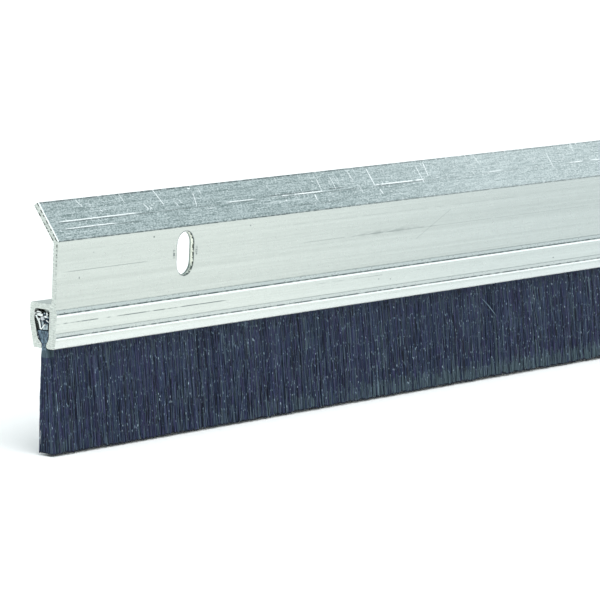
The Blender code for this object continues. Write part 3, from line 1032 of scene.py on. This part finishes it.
def make_roots(materials):
    """The bundle inside the channel, with separate bristles where its cut ends show."""
    shape = copied_shape("bristle_roots")
    for vertex in shape.verts:
        inward = 1.0 if vertex.co.x < 0 else -1.0
        vertex.co.x += inward * BUNDLE_SHORT * MM
    mesh = mesh_from(shape, "bristle_bundle")
    mesh.shade_smooth()
    new_piece("bristle_bundle", mesh, [materials[SLATE]], "brush_strip", "bristle_roots")
    first, last = END_BUNDLE
    spans = {"left": (first, last), "right": (sweep_length - last, sweep_length - first)}
    for side, (near, far) in spans.items():
        rng = np.random.default_rng(ROOT_SEED + int(near))
        name = f"bristle_roots_{side}"
        piece = bristle_piece(name, rng, near, far, ROOT_TOP, ROOT_LOW, materials, ROOT_SHARES)
        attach(piece, "brush_strip")


# ------------------------------------------------------------------------------ floor, light and the camera


FLOOR_SIZE = 6.0
FLOOR_GAP = 0.2


def make_floor():
    """A plain pale floor just under the tips, wide enough to fill the view. Its size is in metres."""
    shape = bmesh.new()
    bmesh.ops.create_grid(shape, x_segments=8, y_segments=8, size=FLOOR_SIZE)
    mesh = mesh_from(shape, "floor")
    floor = bpy.data.objects.new("floor", mesh)
    floor.location = (0.0, 0.0, tips - FLOOR_GAP * MM)
    bpy.context.scene.collection.objects.link(floor)
    material = bpy.data.materials.new("pale_floor")
    material.use_nodes = True
    shader = material.node_tree.nodes["Principled BSDF"]
    shader.inputs["Base Color"].default_value = (0.98, 0.97, 0.96, 1.0)
    shader.inputs["Roughness"].default_value = 1.0
    shader.inputs["Specular IOR Level"].default_value = 0.0
    mesh.materials.append(material)


# The room's light: how high it is seen, from the horizon at 0 to straight up at 1, and its colour
SKY = (
    (0.00, (0.98, 1.00, 0.99)),
    (0.10, (0.90, 0.95, 0.94)),
    (0.32, (0.50, 0.605, 0.625)),
    (0.60, (0.39, 0.49, 0.52)),
    (1.00, (0.75, 0.80, 0.82)),
)


def make_world():
    """A plain pale room: light near the horizon, greyer higher up."""
    world = bpy.data.worlds.new("room")
    world.use_nodes = True
    nodes, links = world.node_tree.nodes, world.node_tree.links
    direction = nodes.new("ShaderNodeTexCoord")
    split = nodes.new("ShaderNodeSeparateXYZ")
    links.new(direction.outputs["Generated"], split.inputs[0])
    ramp = nodes.new("ShaderNodeValToRGB")
    links.new(split.outputs["Z"], ramp.inputs[0])
    while len(ramp.color_ramp.elements) < len(SKY):
        ramp.color_ramp.elements.new(1.0)
    for element, (height, color) in zip(ramp.color_ramp.elements, SKY):
        element.position = height
        element.color = (*color, 1.0)
    background = nodes["Background"]
    links.new(ramp.outputs["Color"], background.inputs["Color"])
    background.inputs["Strength"].default_value = 1.0
    bpy.context.scene.world = world


KEY_STRENGTH = 2.4
KEY_WIDTH = math.radians(70)
KEY_TURN = (math.radians(22), math.radians(-14), 0.0)


def make_key_light():
    """A very wide, soft light from above and in front."""
    light = bpy.data.lights.new("key", "SUN")
    light.energy = KEY_STRENGTH
    light.angle = KEY_WIDTH
    lamp = bpy.data.objects.new("key", light)
    lamp.rotation_euler = KEY_TURN
    bpy.context.scene.collection.objects.link(lamp)


# The camera: which way it looks, from +Y towards +X, how far down and how far it is tilted, its place as the
# distance to the left end, depth and height in millimetres, and its focal length for a 36 mm wide sensor
CAMERA_AZIMUTH = math.radians(52.776)
CAMERA_DOWN = math.radians(8.421)
CAMERA_ROLL = math.radians(2.529)
CAMERA_PLACE = (-551.76, -468.87, 134.59)
CAMERA_LENS = 270.0


def make_camera():
    """A long lens that looks along the sweep from its left end, in front of it and a little above."""
    across = Vector((math.sin(CAMERA_AZIMUTH), math.cos(CAMERA_AZIMUTH), 0.0))
    forward = across * math.cos(CAMERA_DOWN) - Vector((0, 0, 1)) * math.sin(CAMERA_DOWN)
    level = forward.cross(Vector((0, 0, 1))).normalized()
    upright = level.cross(forward)
    sideways = level * math.cos(CAMERA_ROLL) + upright * math.sin(CAMERA_ROLL)
    up = upright * math.cos(CAMERA_ROLL) - level * math.sin(CAMERA_ROLL)
    turn = Matrix((sideways, up, -forward)).transposed()
    data = bpy.data.cameras.new("camera")
    data.sensor_width = 36.0
    data.lens = CAMERA_LENS
    data.clip_start = 0.02
    data.clip_end = 30.0
    camera = bpy.data.objects.new("camera", data)
    camera.matrix_world = Matrix.Translation(place(*CAMERA_PLACE)) @ turn.to_4x4()
    bpy.context.scene.collection.objects.link(camera)
    bpy.context.scene.camera = camera


def main():
    make_carrier()
    make_spine()
    make_wire()
    materials = [nylon(*shade[:3]) for shade in NYLON_SHADES]
    materials.append(nylon(*GLINT))
    materials.append(nylon(*CUT_TIP))
    make_fringe(materials)
    make_roots(materials)
    make_floor()
    make_world()
    make_key_light()
    make_camera()
    bpy.context.scene.view_settings.view_transform = "Standard"


main()
